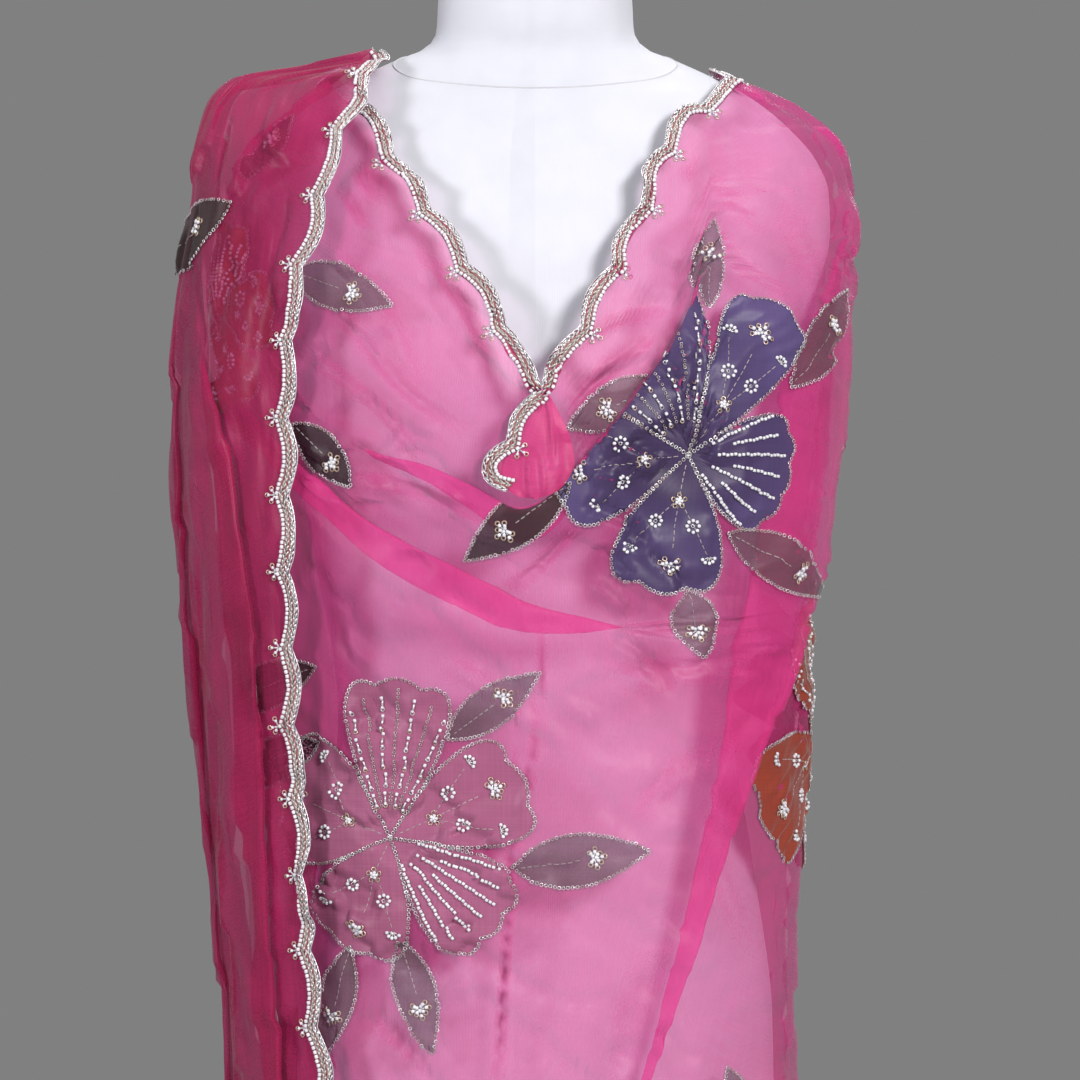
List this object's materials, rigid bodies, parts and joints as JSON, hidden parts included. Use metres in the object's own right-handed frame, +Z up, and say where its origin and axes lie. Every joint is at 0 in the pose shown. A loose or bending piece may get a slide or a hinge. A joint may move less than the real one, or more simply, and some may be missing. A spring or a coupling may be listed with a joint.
{
  "type": "dupatta stole on a dress form",
  "caption": "Sheer pink dupatta with beaded scalloped borders and applique flowers, wound round the shoulders of a limbless white dress form on a round-footed stand.",
  "frame": {"origin": "middle of the underside of the stand's round foot, on the floor", "axes": "+Z up, +X towards the dress form's left, the form faces -Y"},
  "size_m": [0.4245, 0.36, 1.492],
  "materials": {
    "organza": "sheer, soft sheen",
    "beaded_border": "silver beads and sequins on cloth",
    "form_cloth": "matte, fine weave",
    "stand_steel": "satin"
  },
  "bodies": {
    "root": {"front_stretch": "organza", "back_stretch": "organza", "right_fall": "organza", "back_tail": "organza", "neck_tuck": "organza", "border_neck_right": "beaded_border", "border_neck_left": "beaded_border", "border_neck_back": "beaded_border", "border_tuck": "beaded_border", "border_fall_edge": "beaded_border", "border_hem_front": "beaded_border", "border_hem_back": "beaded_border", "form_body": "form_cloth", "stand_pole": "stand_steel", "stand_base": "stand_steel"}
  },
  "joints": []
}
